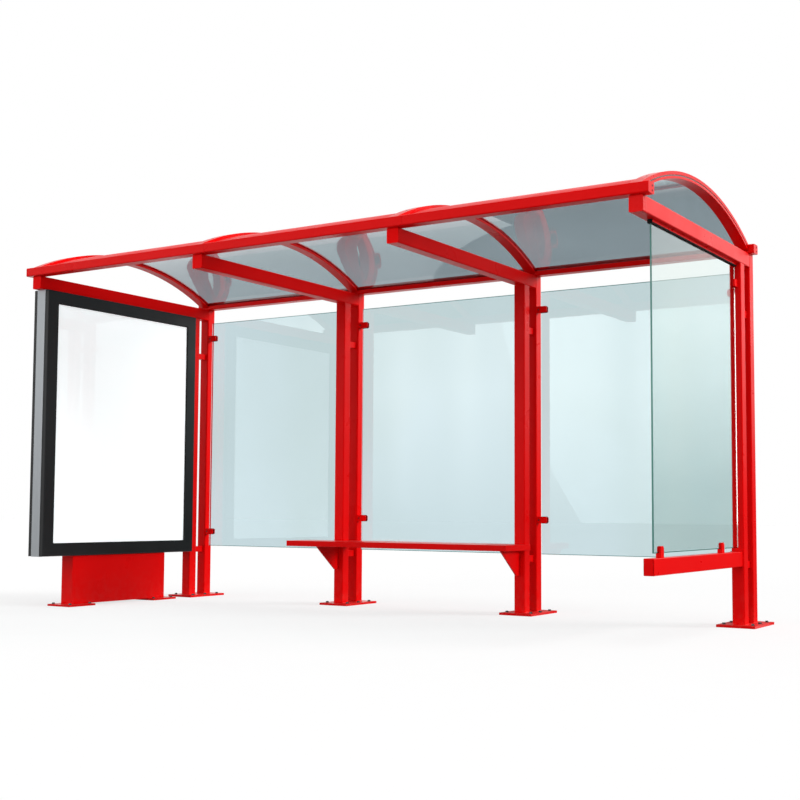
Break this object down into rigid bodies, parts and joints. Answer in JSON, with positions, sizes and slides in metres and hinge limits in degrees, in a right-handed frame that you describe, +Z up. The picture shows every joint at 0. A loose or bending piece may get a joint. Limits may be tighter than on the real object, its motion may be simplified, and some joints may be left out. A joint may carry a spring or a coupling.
{
  "type": "bus shelter",
  "caption": "Open-fronted steel bus shelter with an arched sheet roof on cantilever arms, glass back and end, bench, and a double-sided display case.",
  "frame": {"origin": "on the ground at the middle of the shelter's plan", "axes": "+X along the shelter towards the glazed end, +Y from the open front to the glass back, +Z up"},
  "size_m": [4.74, 1.966, 2.6118],
  "materials": {
    "red_paint": "gloss",
    "roof_grey": "smooth",
    "red_sheet": "gloss",
    "clear_glass": "smooth",
    "green_glass": "smooth",
    "black_paint": "satin",
    "aluminium": "satin",
    "white_film": "matte",
    "gasket": "matte"
  },
  "bodies": {
    "root": {"beam_end_caps": "red_paint", "bench_brackets": "red_paint", "bench_seat": "red_paint", "case_body": "aluminium", "case_door_inner": "black_paint", "case_door_outer": "black_paint", "case_feet": "red_paint", "case_panes": "clear_glass", "case_pedestal": "red_paint", "case_posters": "white_film", "front_beam": "red_paint", "front_flashing_1": "red_sheet", "front_flashing_2": "red_sheet", "front_flashing_3": "red_sheet", "post_1": "red_paint", "post_2": "red_paint", "post_3": "red_paint", "post_4": "red_paint", "post_base_plates": "red_paint", "post_spacers": "red_paint", "rear_beam": "red_paint", "rear_glass_1": "clear_glass", "rear_glass_2": "clear_glass", "rear_glass_3": "clear_glass", "rear_glass_clamps": "red_paint", "rib_1": "red_paint", "rib_2": "red_paint", "rib_3": "red_paint", "rib_4": "red_paint", "rib_cap_1": "red_paint", "rib_cap_2": "red_paint", "rib_cap_3": "red_paint", "rib_cap_4": "red_paint", "roof_arm_1": "red_paint", "roof_arm_2": "red_paint", "roof_arm_3": "red_paint", "roof_arm_4": "red_paint", "roof_sheet_1": "roof_grey", "roof_sheet_2": "roof_grey", "roof_sheet_3": "roof_grey", "side_glass": "green_glass", "side_glass_channel": "gasket", "side_glass_clamp": "red_paint", "side_glass_shoes": "red_paint", "side_rail": "red_paint"}
  },
  "joints": []
}
